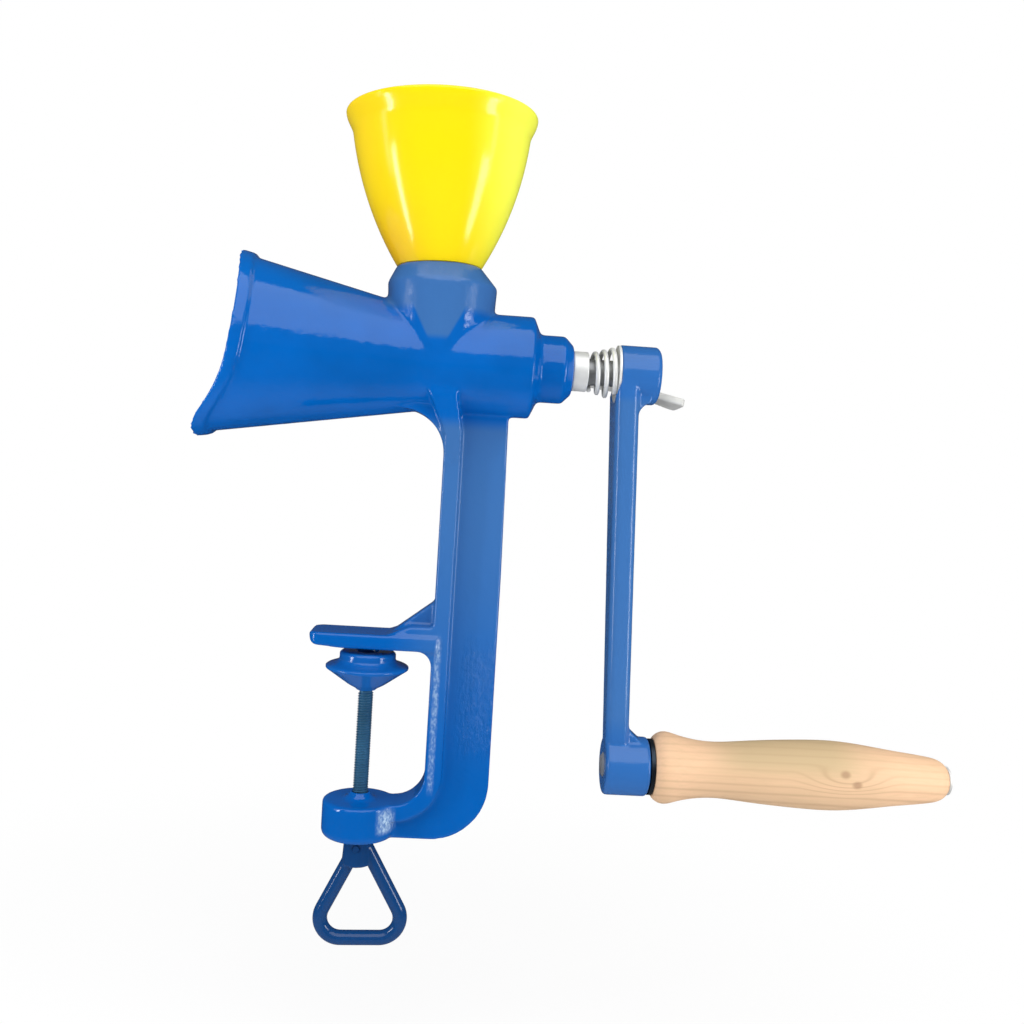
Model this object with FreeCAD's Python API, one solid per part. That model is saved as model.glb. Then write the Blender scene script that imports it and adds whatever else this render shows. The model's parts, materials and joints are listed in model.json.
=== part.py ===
# Hand crank peanut grinder: a clamp-on cast iron mill with a plastic hopper and a wooden handle.
# Units are millimetres. +Z is up, +X runs along the shaft towards the crank, +Y points to the back.
# The origin is on the clamp screw's axis, on the face of the upper jaw that sits on the table.
import FreeCAD
import Part
import math
import os

V = FreeCAD.Vector
X_AXIS, Y_AXIS, Z_AXIS = V(1, 0, 0), V(0, 1, 0), V(0, 0, 1)

# ---------------------------------------------------------------- driving dimensions
RUNNING_GAP = 0.05          # radial clearance of every turning fit
FACE_GAP = 0.3              # axial clearance between faces that move past each other
BEYOND = 300.0              # reach of the cutting shapes, past every face of the mill

SHAFT_Z = 110.0             # height of the shaft above the table seat
BARREL_R, BARREL_WALL = 19.3, 4.1
BARREL_X0, BARREL_X1 = 2.0, 55.8
SHOULDER_LENGTH = 2.6
BOSS_WALL, BOSS_LENGTH = 5.85, 13.2     # rear bearing boss around the bush
BOSS_CHAMFER = 3.6
BARREL_END_WALL = 4.6

HORN_START_X = 13.0         # where the trumpet outlet leaves the barrel
HORN_REACH_X = -69.5        # tip of the lower lip
HORN_MOUTH_R = 35.8         # outer radius at the lower lip
HORN_RISE = 3.25            # how much higher the mouth's centre is than the shaft
HORN_WALL, HORN_OVERRUN = 3.6, 5.0     # the hollow is cut this far past the lip
HORN_BACK_X = -50.9         # where the upper half of the mouth is cut off
MOUTH_LINE = ((-3.4, 36.0), (-0.4, 24.0), (0.0, 12.0), (-1.0, 2.0), (-3.3, -8.5), (-6.4, -15.5),
              (-11.3, -22.5), (-15.3, -27.5), (-17.6, -31.5), (-18.1, -37.0))   # from HORN_BACK_X, height
LIP_WIDTH, LIP_PROUD = 4.6, 1.3

NECK_X, NECK_SHIFT = 18.9, 1.5  # hopper's place, and how far the neck's foot is from it
HOPPER_LEAN = 2.0           # degrees that the socket and the hopper lean to the outlet
NECK_HEIGHT, NECK_CHAMFER_HEIGHT = 35.4, 6.9
NECK_WALL, NECK_R = 3.1, 20.7
SOCKET_R, SOCKET_DEPTH = 12.8, 12.0
SOCKET_STEP = 2.0           # ledge between the socket and the feed hole

FLANGE_X, FLANGE_THICK = 24.5, 6.5      # inner face of the column, thickness of its flange
FLANGE_HALF_TOP, FLANGE_HALF_LOW = 16.5, 8.2
WEB_DEPTH, WEB_THICK = 18.4, 7.2        # how far the web stands out from the flange
THROAT_TOP_R, THROAT_LOW_R = 6.0, 12.0
HEEL_R = 22.0                           # outer corner between column and lower arm
COLUMN_HEAD_R = 16.5                    # fillet where the column meets the barrel
HEAD_SPREAD, HEAD_DROP = 8.5, 7.0       # how the flange's front edge widens under the barrel

JAW_X0, JAW_THICK, JAW_HALF, JAW_CORNER_R = -22.0, 5.7, 10.0, 4.0
JAW_LEAD_X, JAW_LEAD = -9.0, 1.0        # where the seat starts to rise, and its rise at the tip
JAW_ROOT_X, JAW_ROOT_THICK = 11.0, 9.4
GUSSET_X, GUSSET_Z = 6.5, 18.6

CLAMP_TRAVEL, CLAMP_END_GAP = 38.0, 1.2     # the pad's travel, and what is left under it
SCREW_R, SCREW_PITCH, THREAD_DEPTH = 2.95, 1.0, 0.45
SCREW_BOSS_R, SCREW_BOSS_LENGTH = 14.3, 14.1
COLLAR_HEIGHT, COLLAR_TOP_WALL, COLLAR_FOOT_R = 3.3, 0.9, 7.2

PAD_TOP_GAP, PAD_LAND_R, PAD_LAND_H = 2.1, 10.75, 3.1
PAD_RIM_R, PAD_RIM_DROP, PAD_RIM_H = 15.9, 5.7, 0.9
PAD_NECK_R, PAD_HEIGHT = 3.6, 15.1
PIVOT_R, PIVOT_HEAD_R, PIVOT_HEAD_H = 2.2, 3.5, 1.6

LOOP_BAR_R, LOOP_GAP = 2.85, 1.0
LOOP_LENGTH, LOOP_HALF, LOOP_CORNER_R = 39.7, 20.7, 8.0
LOOP_SHIFT, LOOP_LEAN = 1.5, 2.0        # the loop is cast a little out of line with its hub
LOOP_HUB_R, LOOP_HUB_LENGTH = 5.7, 10.6
LOOP_PIN_R, SCREW_FOOT_INSET = 1.25, 2.0    # the screw ends this far inside the loop's hub

SHAFT_R, SHAFT_PROUD = 5.0, 0.7         # SHAFT_PROUD: how far it stands out of the crank's hub
BUSH_WALL, BUSH_STEP, COLLAR_LENGTH = 2.0, 0.6, 5.8
SPRING_WIRE_R, SPRING_TURNS = 0.9, 2.9
SPRING_LENGTH, SPRING_FLARE = 11.2, 2.7
SPRING_WASHER_R, SPRING_WASHER_THICK = 10.9, 0.8
SHAFT_FLOAT = 2.0           # how far the shaft can be pushed in against the spring

STATOR_STEP, STATOR_LENGTH = 1.4, 15.5  # the ring's seat is this much wider than the bore
STATOR_WALL, STATOR_TAPER = 2.3, 4.9
BURR_GAP = 0.45
BURR_TEETH, TOOTH_WIDTH, TOOTH_DEPTH = 14, 1.6, 1.1
ROTOR_OVERHANG = 2.2        # how far the turning burr stands out of the fixed ring
SPINDLE_STEP = 1.0          # the shaft is this much thinner under the burr and its nut
BURR_WASHER_R, BURR_WASHER_THICK = 8.0, 1.6
NUT_ACROSS_FLATS, NUT_HEIGHT = 13.0, 6.5
KEY_WIDTH, KEY_LENGTH, KEY_SINK = 2.4, 9.0, 1.4
STATOR_PIN_R, STATOR_PIN_SINK, STATOR_PIN_PROUD = 1.5, 1.6, 0.55

AUGER_LENGTH, AUGER_CORE_WALL, AUGER_GAP = 38.0, 2.4, 0.6
AUGER_PITCH, AUGER_FLIGHT = 17.0, 3.2
AUGER_PIN_R = 1.5

HUB_R, HUB_LENGTH, HUB_CHAMFER = 11.1, 15.4, 1.3
CRANK_RADIUS = 152.0
CRANK_LEAN = 6.35           # how far the arm's lower end stands out past its upper end
ARM_THICK, ARM_EDGE_R, ARM_PROUD = 9.0, 3.0, 1.85   # ARM_PROUD: past the hub's inner face
ARM_TOP_HALF, ARM_LOW_HALF = 10.9, 6.6
CRANK_BOSS_R, CRANK_BOSS_LENGTH, CRANK_BOSS_INSET = 11.4, 17.3, 4.2

SPINDLE_R, SPINDLE_HEAD_R, SPINDLE_HEAD_H = 4.0, 4.8, 0.8
HANDLE_LENGTH = 117.5
HANDLE_WASHER_R, HANDLE_WASHER_THICK = 10.8, 1.4
END_WASHER_R, END_WASHER_THICK = 5.6, 0.9
HANDLE_PROFILE = ((0.0, 11.2), (0.01, 12.6), (0.034, 13.8), (0.075, 13.0), (0.126, 11.6),
                  (0.2, 10.8), (0.303, 11.6), (0.498, 13.2), (0.615, 13.4), (0.727, 12.2),
                  (0.83, 10.6), (0.94, 9.0), (0.985, 7.4), (1.0, 5.8))   # share of its length, radius

WING_TILT, WING_TURN = 12.0, 12.0        # set screw below the level to the back, wings' slope
WING_SPAN_HALF, WING_THICK = 21.2, 3.0
WING_LIFT, WING_HEIGHT = 6.6, 11.6      # the wings' foot above the hub, and their height
WING_SHANK_R, WING_HUB_R = 3.0, 5.2
WING_INSET = 5.4            # from the hub's outer face to the set screw's axis

HOPPER_HEIGHT, HOPPER_WALL = 56.1, 1.9
HOPPER_RIM_R, HOPPER_WAIST_R, HOPPER_WAIST_HEIGHT = 36.0, 27.5, 24.1
HOPPER_FOOT_STEP = 0.1      # the hopper's foot is this much wider than the neck's top
FLARE_PROUD, FLARE_HEIGHT, RIM_ROUND = 2.8, 8.4, 0.85   # the rim's gentle flare, its rounded edge
SPIGOT_LENGTH = 11.6

# ---------------------------------------------------------------- places worked out from them
BARREL_BORE_R = BARREL_R - BARREL_WALL
BUSH_R = SHAFT_R + BUSH_WALL
COLLAR_R = BUSH_R + BUSH_STEP
BOSS_R = BUSH_R + BOSS_WALL
BOSS_X0 = BARREL_X1 + SHOULDER_LENGTH
BOSS_X1 = BOSS_X0 + BOSS_LENGTH
COLLAR_X1 = BOSS_X1 + COLLAR_LENGTH
WASHER_X0 = COLLAR_X1 + SPRING_LENGTH
HUB_X0 = WASHER_X0 + SPRING_WASHER_THICK + RUNNING_GAP
HUB_X1 = HUB_X0 + HUB_LENGTH
SHAFT_END_X = HUB_X1 + SHAFT_PROUD

NECK_TOP_Z = SHAFT_Z + NECK_HEIGHT
NECK_CHAMFER_Z = NECK_TOP_Z - NECK_CHAMFER_HEIGHT
NECK_TOP_R = SOCKET_R + NECK_WALL
FEED_R = SOCKET_R - SOCKET_STEP
HOPPER_TOP_Z = NECK_TOP_Z + HOPPER_HEIGHT
HOPPER_FOOT_R = NECK_TOP_R + HOPPER_FOOT_STEP

CRANK_Z = SHAFT_Z - CRANK_RADIUS
CRANK_BOSS_X0 = HUB_X0 + CRANK_BOSS_INSET
CRANK_BOSS_X1 = CRANK_BOSS_X0 + CRANK_BOSS_LENGTH
HANDLE_X0 = CRANK_BOSS_X1 + HANDLE_WASHER_THICK + 2 * FACE_GAP
HANDLE_X1 = HANDLE_X0 + HANDLE_LENGTH
WING_X = HUB_X1 - WING_INSET
WING_FOOT = HUB_R + WING_LIFT
WING_TIP = WING_FOOT + WING_HEIGHT

STATOR_R = BARREL_BORE_R + STATOR_STEP
STATOR_BIG_R = STATOR_R - STATOR_WALL
STATOR_SMALL_R = STATOR_BIG_R - STATOR_TAPER
STATOR_X0 = BARREL_X0 - STATOR_LENGTH
SPINDLE_END_R = SHAFT_R - SPINDLE_STEP
ROTOR_X0 = STATOR_X0 - ROTOR_OVERHANG
ROTOR_X1 = BARREL_X0 - 0.6
AUGER_R = BARREL_BORE_R - AUGER_GAP
AUGER_CORE_R = SHAFT_R + AUGER_CORE_WALL
AUGER_X0 = BARREL_X0 + SHAFT_FLOAT + 1.0
AUGER_X1 = AUGER_X0 + AUGER_LENGTH
NUT_X1 = ROTOR_X0 - BURR_WASHER_THICK
NUT_X0 = NUT_X1 - NUT_HEIGHT

WEB_X = FLANGE_X + FLANGE_THICK + WEB_DEPTH
PAD_TOP_Z = -PAD_TOP_GAP
PAD_RIM_Z = PAD_TOP_Z - PAD_RIM_DROP
PAD_LOW_Z = PAD_TOP_Z - PAD_HEIGHT
LIP_TOP_Z = PAD_LOW_Z - CLAMP_TRAVEL - CLAMP_END_GAP
ARM_TOP_Z = LIP_TOP_Z - COLLAR_HEIGHT    # inner face of the lower arm
FRAME_LOW_Z = ARM_TOP_Z - SCREW_BOSS_LENGTH
LOOP_HUB_TOP_Z = FRAME_LOW_Z - LOOP_GAP
LOOP_HUB_LOW_Z = LOOP_HUB_TOP_Z - LOOP_HUB_LENGTH
LOOP_APEX_Z = LOOP_HUB_TOP_Z - 0.5
LOOP_LOW_Z = LOOP_APEX_Z - LOOP_LENGTH
SCREW_FOOT_Z = LOOP_HUB_LOW_Z + SCREW_FOOT_INSET


# ---------------------------------------------------------------- helpers
def rod(x0, x1, radius, z=SHAFT_Z):
    """A round bar along X, from x0 to x1."""
    return Part.makeCylinder(radius, x1 - x0, V(x0, 0, z), X_AXIS)


def post(z0, z1, radius, x=0.0):
    """A round bar along Z, from z0 to z1."""
    return Part.makeCylinder(radius, z1 - z0, V(x, 0, z0), Z_AXIS)


def frustum(x0, x1, r0, r1, z=SHAFT_Z):
    """A cone along X with radius r0 at x0 and r1 at x1."""
    return Part.makeCone(r0, r1, x1 - x0, V(x0, 0, z), X_AXIS)


def block(x0, x1, y0, y1, z0, z1):
    return Part.makeBox(x1 - x0, y1 - y0, z1 - z0, V(x0, y0, z0))


def rounded_outline(corners):
    """A closed wire in the XZ plane. Each corner is (x, z, radius); radius 0 leaves it sharp."""
    points = [V(x, 0, z) for x, z, _ in corners]
    starts, ends, arcs = [], [], []
    for i, (_, _, radius) in enumerate(corners):
        corner = points[i]
        to_last = (points[i - 1] - corner).normalize()
        to_next = (points[(i + 1) % len(points)] - corner).normalize()
        if radius == 0:
            starts.append(corner)
            ends.append(corner)
            arcs.append(None)
            continue
        half = to_last.getAngle(to_next) / 2
        reach = radius / math.tan(half)
        middle = (to_last + to_next).normalize() * (radius / math.sin(half) - radius)
        starts.append(corner + to_last * reach)
        ends.append(corner + to_next * reach)
        arcs.append(Part.Arc(starts[-1], corner + middle, ends[-1]).toShape())
    edges = []
    for i, arc in enumerate(arcs):
        if arc:
            edges.append(arc)
        following = starts[(i + 1) % len(starts)]
        if ends[i].distanceToPoint(following) > 1e-6:
            edges.append(Part.LineSegment(ends[i], following).toShape())
    return Part.Wire(edges)


def plate(corners, half):
    """The rounded outline as a plate that reaches `half` to the front and to the back."""
    face = Part.Face(rounded_outline(corners))
    face.translate(V(0, -half, 0))
    return face.extrude(V(0, 2 * half, 0))


def turned(profile, centre, axis, spline=False):
    """A solid of revolution. profile holds (distance along the axis, radius), axis X or Z."""
    radial = Z_AXIS if axis == X_AXIS else X_AXIS
    points = [centre + axis * along + radial * radius for along, radius in profile]
    if spline:
        curve = Part.BSplineCurve()
        curve.interpolate(points)
        edges = [curve.toShape()]
    else:
        edges = [Part.LineSegment(a, b).toShape() for a, b in zip(points, points[1:])]
    foot, head = centre + axis * profile[0][0], centre + axis * profile[-1][0]
    if profile[-1][1] > 0:
        edges.append(Part.LineSegment(points[-1], head).toShape())
    edges.append(Part.LineSegment(head, foot).toShape())
    if profile[0][1] > 0:
        edges.append(Part.LineSegment(foot, points[0]).toShape())
    return Part.Face(Part.Wire(edges)).revolve(centre, axis, 360)


def around_shaft(solid, count):
    """Copies of a solid, evenly spaced around the shaft's axis."""
    copies = []
    for i in range(count):
        copy = solid.copy()
        copy.rotate(V(0, 0, SHAFT_Z), X_AXIS, 360.0 * i / count)
        copies.append(copy)
    return copies


def leaned(shape):
    """Turn a shape drawn on the upright neck axis to the lean of the socket and the hopper."""
    shape.rotate(V(NECK_X, 0, NECK_CHAMFER_Z), Y_AXIS, -HOPPER_LEAN)
    return shape


def write(name, shape):
    """Save one node as a STEP file, as a single clean solid."""
    clean = shape.removeSplitter()
    solids = clean.Solids
    assert len(solids) == 1 and solids[0].isValid() and solids[0].isClosed(), (name, len(solids))
    solids[0].exportStep("parts/" + name + ".step")


# ---------------------------------------------------------------- body casting
def horn_radius(x):
    """The trumpet's outer radius, which grows evenly from the barrel to the lower lip."""
    return BARREL_R + (HORN_MOUTH_R - BARREL_R) * (HORN_START_X - x) / (HORN_START_X - HORN_REACH_X)


def horn(inset, reach=0.0):
    """The trumpet as a loft between two circles, made smaller by inset and longer by reach."""
    length = HORN_START_X - HORN_REACH_X
    rings = []
    for along in (0.0, length + reach):
        centre = V(HORN_START_X - along, 0, SHAFT_Z + HORN_RISE * along / length)
        rings.append(Part.Wire([Part.makeCircle(horn_radius(centre.x) - inset, centre, X_AXIS)]))
    return Part.makeLoft(rings, True, True)


def mouth_cutter(shift=0.0):
    """What the oblique, scooped mouth takes off: steep above, swept forward to the lower lip."""
    top, low, away = SHAFT_Z + BEYOND, SHAFT_Z - BEYOND, -BEYOND
    line = [V(HORN_BACK_X + x + shift, 0, SHAFT_Z + z) for x, z in MOUTH_LINE]
    scoop = Part.BSplineCurve()
    scoop.interpolate(line)
    corners = [line[-1], V(line[-1].x, 0, low), V(away, 0, low), V(away, 0, top),
               V(line[0].x, 0, top), line[0]]
    edges = [scoop.toShape()]
    edges += [Part.LineSegment(a, b).toShape() for a, b in zip(corners, corners[1:])]
    face = Part.Face(Part.Wire(edges))
    face.translate(V(0, -BEYOND, 0))
    return face.extrude(V(0, 2 * BEYOND, 0))


def column_and_arms():
    """The C-shaped frame: a flange along the inside of the C and a web outside it."""
    flange_out = FLANGE_X + FLANGE_THICK
    head_z = SHAFT_Z - BARREL_R + 0.8
    fillet = plate([
        (FLANGE_X - COLUMN_HEAD_R - 4, SHAFT_Z - 8, 0),
        (FLANGE_X - COLUMN_HEAD_R - 4, head_z, 0),
        (FLANGE_X, head_z, COLUMN_HEAD_R),
        (FLANGE_X, SHAFT_Z - 2 * BARREL_R, 0),
        (FLANGE_X + 2, SHAFT_Z - 2 * BARREL_R, 0),
        (FLANGE_X + 2, SHAFT_Z - 8, 0)], FLANGE_HALF_LOW + 1.6)
    flange = plate([
        (FLANGE_X - HEAD_SPREAD, SHAFT_Z - 8, 0),
        (FLANGE_X, SHAFT_Z - BARREL_R - HEAD_DROP, 14.0),
        (FLANGE_X, ARM_TOP_Z, THROAT_LOW_R),
        (0, ARM_TOP_Z, 0),
        (0, ARM_TOP_Z - FLANGE_THICK, 0),
        (flange_out, ARM_TOP_Z - FLANGE_THICK, THROAT_LOW_R + FLANGE_THICK),
        (flange_out, SHAFT_Z - BARREL_R - 7, 0),
        (flange_out - 3.4, SHAFT_Z - 8, 0)], FLANGE_HALF_TOP)
    taper = Part.Face(Part.makePolygon([
        V(0, -FLANGE_HALF_TOP, SHAFT_Z), V(0, FLANGE_HALF_TOP, SHAFT_Z),
        V(0, FLANGE_HALF_TOP, SHAFT_Z - BARREL_R + 6), V(0, FLANGE_HALF_LOW + 0.8, SHAFT_Z - 38),
        V(0, FLANGE_HALF_LOW, FRAME_LOW_Z), V(0, -FLANGE_HALF_LOW, FRAME_LOW_Z),
        V(0, -FLANGE_HALF_LOW - 0.8, SHAFT_Z - 38), V(0, -FLANGE_HALF_TOP, SHAFT_Z - BARREL_R + 6),
        V(0, -FLANGE_HALF_TOP, SHAFT_Z)])).extrude(V(BEYOND, 0, 0))
    web = plate([
        (0, FRAME_LOW_Z, 0), (WEB_X, FRAME_LOW_Z, HEEL_R), (WEB_X - 0.2, 30, 0),
        (WEB_X - 1.2, SHAFT_Z - 8, 0), (flange_out - 2, SHAFT_Z - 8, 0),
        (flange_out - 2, ARM_TOP_Z - 3, THROAT_LOW_R), (0, ARM_TOP_Z - 3, 0)], WEB_THICK / 2)
    return flange.common(taper).fuse([fillet, web])


def upper_jaw():
    """The flat jaw that sits on the table, its thicker root and the rib above it."""
    jaw = plate([
        (JAW_X0, JAW_LEAD, 3.2), (JAW_LEAD_X, 0, 0), (FLANGE_X + 2, 0, 0),
        (FLANGE_X + 2, JAW_THICK, 0), (JAW_X0, JAW_THICK, 0.8)], JAW_HALF)
    blank = block(JAW_X0, FLANGE_X + 2, -JAW_HALF, JAW_HALF, 0, JAW_THICK)
    corners = [e for e in blank.Edges if e.BoundBox.ZLength > 1 and e.BoundBox.XMax < JAW_X0 + 1]
    jaw = jaw.common(blank.makeFillet(JAW_CORNER_R, corners))
    root = plate([
        (JAW_ROOT_X, 0, 0), (FLANGE_X, 0, 0), (FLANGE_X, -THROAT_TOP_R, 0),
        (FLANGE_X + FLANGE_THICK, -THROAT_TOP_R, 0),
        (FLANGE_X + FLANGE_THICK, JAW_ROOT_THICK, 0), (JAW_ROOT_X + 5, JAW_ROOT_THICK, 3.0),
        (JAW_ROOT_X - 4, JAW_THICK, 0), (JAW_ROOT_X - 4, 0.5, 0)], FLANGE_HALF_LOW + 0.4)
    corner = plate([
        (FLANGE_X - THROAT_TOP_R, 0, 0), (FLANGE_X + 1, 0, 0), (FLANGE_X + 1, -THROAT_TOP_R, 0),
        (FLANGE_X, -THROAT_TOP_R, 0)], FLANGE_HALF_LOW + 0.4)
    hollow = Part.makeCylinder(
        THROAT_TOP_R, 60, V(FLANGE_X - THROAT_TOP_R, -30, -THROAT_TOP_R), Y_AXIS)
    gusset = plate([
        (GUSSET_X, JAW_THICK - 1, 0), (FLANGE_X + 2, JAW_THICK - 1, 0), (FLANGE_X + 2, GUSSET_Z, 0),
        (FLANGE_X - 0.2, GUSSET_Z, 0)], WEB_THICK / 2)
    return jaw.fuse([root, corner.cut(hollow), gusset])


def screw_boss():
    """The threaded boss at the end of the lower arm, with its small raised collar."""
    boss = Part.makeCylinder(SCREW_BOSS_R, ARM_TOP_Z - FRAME_LOW_Z, V(0, 0, FRAME_LOW_Z))
    rims = [e for e in boss.Edges if e.Curve.TypeId == "Part::GeomCircle"]
    boss = boss.makeFillet(1.0, [e for e in rims if e.BoundBox.ZMin > FRAME_LOW_Z + 1])
    rims = [e for e in boss.Edges if e.BoundBox.ZMax < FRAME_LOW_Z + 0.1]
    boss = boss.makeFillet(2.4, rims)
    top = V(SCREW_R + COLLAR_TOP_WALL, 0, LIP_TOP_Z)
    foot = V(COLLAR_FOOT_R, 0, ARM_TOP_Z)
    waist = V(top.x + 0.3 * (foot.x - top.x), 0, ARM_TOP_Z + 0.3 * COLLAR_HEIGHT)
    sweep = Part.Arc(foot, waist, top).toShape()
    base = ARM_TOP_Z - 2
    edges = [sweep, Part.LineSegment(top, V(0, 0, LIP_TOP_Z)).toShape(),
             Part.LineSegment(V(0, 0, LIP_TOP_Z), V(0, 0, base)).toShape(),
             Part.LineSegment(V(0, 0, base), V(foot.x, 0, base)).toShape(),
             Part.LineSegment(V(foot.x, 0, base), foot).toShape()]
    collar = Part.Face(Part.Wire(edges)).revolve(V(0, 0, 0), Z_AXIS, 360)
    return boss.fuse(collar)


def body_casting():
    neck_foot = V(NECK_X + NECK_SHIFT, 0, SHAFT_Z)
    neck = Part.makeCone(BARREL_R, NECK_R, NECK_CHAMFER_Z - SHAFT_Z, neck_foot)
    foot_ring = Part.makeCircle(NECK_R, V(neck_foot.x, 0, NECK_CHAMFER_Z))
    top_ring = leaned(Part.makeCircle(NECK_TOP_R, V(NECK_X, 0, NECK_TOP_Z)))
    neck_top = Part.makeLoft([Part.Wire([foot_ring]), Part.Wire([top_ring])], True, True)
    mouth = mouth_cutter()
    lip = horn(-LIP_PROUD).common(mouth_cutter(LIP_WIDTH))
    lip = lip.cut(mouth)
    horn_skin = horn(0).cut(mouth).fuse(lip)
    body = rod(BARREL_X0, BARREL_X1, BARREL_R).fuse([
        frustum(BARREL_X1, BOSS_X0, BARREL_R, BOSS_R + 0.6),
        rod(BARREL_X1, BOSS_X1 - BOSS_CHAMFER, BOSS_R),
        frustum(BOSS_X1 - BOSS_CHAMFER, BOSS_X1, BOSS_R, BOSS_R - BOSS_CHAMFER),
        neck, neck_top, column_and_arms(), upper_jaw(), screw_boss(), horn_skin])
    outside = block(-BEYOND, STATOR_X0, -BEYOND, BEYOND, -BEYOND, BEYOND)
    hollow_horn = horn(HORN_WALL, HORN_OVERRUN).common(outside)
    return body.cut([
        hollow_horn,
        rod(STATOR_X0, BARREL_X0, STATOR_R),
        rod(BARREL_X0 - 0.01, BARREL_X1 - BARREL_END_WALL, BARREL_BORE_R),
        rod(BARREL_X1 - BARREL_END_WALL - 0.01, BOSS_X1, BUSH_R),
        leaned(post(SHAFT_Z, NECK_TOP_Z + 1, FEED_R, NECK_X)),
        leaned(post(NECK_TOP_Z - SOCKET_DEPTH, NECK_TOP_Z + 1, SOCKET_R, NECK_X)),
        post(FRAME_LOW_Z - 1, LIP_TOP_Z + 1, SCREW_R + RUNNING_GAP),
        stator_pin_shape()])


# ---------------------------------------------------------------- grinding pair
def stator_pin_shape():
    """The headless screw that holds the fixed ring, let in from the back."""
    foot = V((STATOR_X0 + BARREL_X0) / 2, STATOR_R - STATOR_PIN_SINK, SHAFT_Z)
    length = horn_radius(foot.x) + STATOR_PIN_PROUD - foot.y
    return Part.makeCylinder(STATOR_PIN_R, length, foot, Y_AXIS)


def tooth_cutter(x0, r0, x1, r1, width, inward):
    """A bar along a cone's line, for one groove between the burr's teeth."""
    low, high = (-TOOTH_DEPTH, 3.0) if inward else (-3.0, TOOTH_DEPTH)
    face = Part.Face(Part.makePolygon([
        V(x0, -width / 2, SHAFT_Z + r0 + low), V(x1, -width / 2, SHAFT_Z + r1 + low),
        V(x1, -width / 2, SHAFT_Z + r1 + high), V(x0, -width / 2, SHAFT_Z + r0 + high),
        V(x0, -width / 2, SHAFT_Z + r0 + low)]))
    return face.extrude(V(0, width, 0))


def burr_stator():
    ring = rod(STATOR_X0, BARREL_X0, STATOR_R)
    cone = frustum(STATOR_X0, BARREL_X0, STATOR_BIG_R, STATOR_SMALL_R)
    groove = tooth_cutter(STATOR_X0 - 1, STATOR_BIG_R, BARREL_X0 + 1, STATOR_SMALL_R, TOOTH_WIDTH, False)
    return ring.cut([cone, stator_pin_shape()] + around_shaft(groove, BURR_TEETH))


def key_shape():
    x0 = ROTOR_X0 + 3.0
    return block(x0, x0 + KEY_LENGTH, -KEY_WIDTH / 2, KEY_WIDTH / 2,
                 SHAFT_Z + SPINDLE_END_R - KEY_SINK, SHAFT_Z + SPINDLE_END_R + KEY_SINK)


def burr_rotor():
    slope = (STATOR_BIG_R - STATOR_SMALL_R) / STATOR_LENGTH
    big = STATOR_BIG_R + slope * ROTOR_OVERHANG - BURR_GAP
    small = STATOR_SMALL_R + slope * (BARREL_X0 - ROTOR_X1) - BURR_GAP
    cone = frustum(ROTOR_X0, ROTOR_X1, big, small)
    groove = tooth_cutter(ROTOR_X0 - 1, big, ROTOR_X1 + 1, small, TOOTH_WIDTH, True)
    dish = frustum(ROTOR_X0 - 1, ROTOR_X0 + 1.2, big - 2.5, BURR_WASHER_R)
    face = rod(ROTOR_X0, ROTOR_X0 + 1.3, BURR_WASHER_R + 0.6)
    turned_cone = cone.cut([dish.cut(face)] + around_shaft(groove, BURR_TEETH))
    return turned_cone.cut([rod(ROTOR_X0 - 1, ROTOR_X1 + 1, SPINDLE_END_R), key_shape()])


def nut():
    """The nut that draws the burr up and sets how fine it grinds."""
    side = NUT_ACROSS_FLATS / math.sqrt(3)
    corners = [V(NUT_X0, side * math.sin(a), SHAFT_Z + side * math.cos(a))
               for a in [math.radians(60 * i) for i in range(7)]]
    prism = Part.Face(Part.makePolygon(corners)).extrude(V(NUT_HEIGHT, 0, 0))
    bevel = turned([(0, side - 1.2), (1.3, side + 0.1), (NUT_HEIGHT - 1.3, side + 0.1),
                    (NUT_HEIGHT, side - 1.2)], V(NUT_X0, 0, SHAFT_Z), X_AXIS)
    return prism.common(bevel).cut(rod(NUT_X0 - 1, NUT_X1 + 1, SPINDLE_END_R))


# ---------------------------------------------------------------- shaft and what turns with it
def auger_pin_shape():
    return Part.makeCylinder(AUGER_PIN_R, 2 * AUGER_CORE_R - 0.4,
                             V(AUGER_X1 - 4, -AUGER_CORE_R + 0.2, SHAFT_Z), Y_AXIS)


def main_shaft():
    shaft = rod(ROTOR_X1, SHAFT_END_X, SHAFT_R)
    shaft = shaft.makeChamfer(0.8, [shaft.Faces[1].Edges[0]])
    end = rod(NUT_X0 - 2.0, ROTOR_X1, SPINDLE_END_R)
    end = end.cut(rod(NUT_X0 - 2.0, NUT_X0 - 1.0, SPINDLE_END_R + 1).cut(
        frustum(NUT_X0 - 2.0, NUT_X0 - 1.0, SPINDLE_END_R - 0.8, SPINDLE_END_R)))
    flat = block(WING_X - 4, WING_X + 4, -6, 6, SHAFT_R - 0.4, SHAFT_R + 2)
    return shaft.fuse(end).cut([key_shape(), auger_pin_shape(), set_screw_place(flat)])


def feed_auger():
    """The coarse feed screw under the hopper, a helical flight on a sleeve."""
    sleeve = rod(AUGER_X0, AUGER_X1, AUGER_CORE_R)
    run = AUGER_LENGTH - AUGER_FLIGHT - 1.0
    helix = Part.makeHelix(AUGER_PITCH, run, AUGER_CORE_R)
    root, half = AUGER_CORE_R - 0.9, AUGER_FLIGHT / 2
    profile = Part.makePolygon([V(root, 0, -half), V(AUGER_R, 0, -half * 0.7),
                                V(AUGER_R, 0, half * 0.7), V(root, 0, half), V(root, 0, -half)])
    flight = Part.Wire(helix).makePipeShell([profile], True, True)
    flight.rotate(V(0, 0, 0), Y_AXIS, 90)
    flight.translate(V(AUGER_X0 + half + 0.5, 0, SHAFT_Z))
    auger = sleeve.fuse(flight)
    return auger.cut([rod(AUGER_X0 - 1, AUGER_X1 + 1, SHAFT_R), auger_pin_shape()])


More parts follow.
